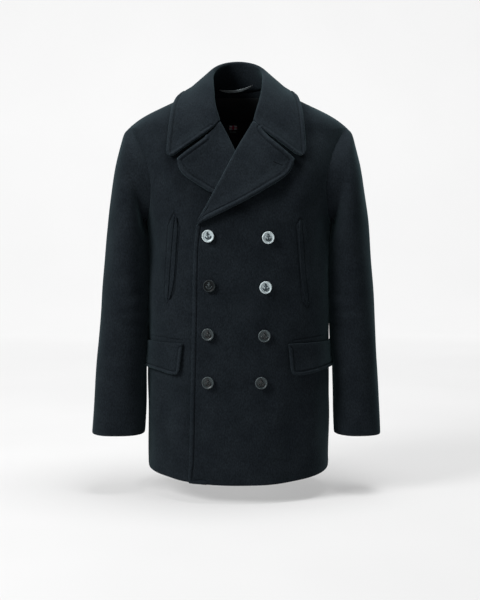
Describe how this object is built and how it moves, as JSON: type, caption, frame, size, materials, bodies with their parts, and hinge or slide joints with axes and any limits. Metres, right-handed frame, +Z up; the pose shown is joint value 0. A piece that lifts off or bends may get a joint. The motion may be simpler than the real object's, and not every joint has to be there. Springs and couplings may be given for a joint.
{
  "type": "pea coat",
  "caption": "Hip-length double-breasted wool coat with a wide turned-down collar, broad lapels, upright hand pockets and flapped hip pockets, filled out as worn.",
  "frame": {"origin": "the middle of the neck hole, level with the tops of the shoulder seams, where the wearer holds the coat up", "axes": "+Z up, -Y out of the front, +X towards the wearer's left"},
  "size_m": [0.608, 0.2915, 0.8864],
  "materials": {
    "melton": "felted nap",
    "lining": "satin",
    "label": "woven",
    "loop": "glossy",
    "button_bright": "glossy, metal coated",
    "button_dark": "glossy, metal coated"
  },
  "bodies": {
    "root": {"front_left": "melton", "front_right": "melton", "back": "melton", "sleeve_top_left": "melton", "sleeve_under_left": "melton", "sleeve_top_right": "melton", "sleeve_under_right": "melton", "lapel_left": "melton", "lapel_right": "melton", "collar": "melton", "flap_right": "melton", "flap_left": "melton", "pocket_lip_inner_right": "melton", "pocket_lip_outer_right": "melton", "pocket_lip_inner_left": "melton", "pocket_lip_outer_left": "melton", "button_outer_1": "button_bright", "button_inner_1": "button_bright", "button_outer_2": "button_dark", "button_inner_2": "button_bright", "button_outer_3": "button_dark", "button_inner_3": "button_dark", "button_outer_4": "button_dark", "button_inner_4": "button_dark", "lining_back": "lining", "label": "label", "hanger_loop": "loop"}
  },
  "joints": []
}
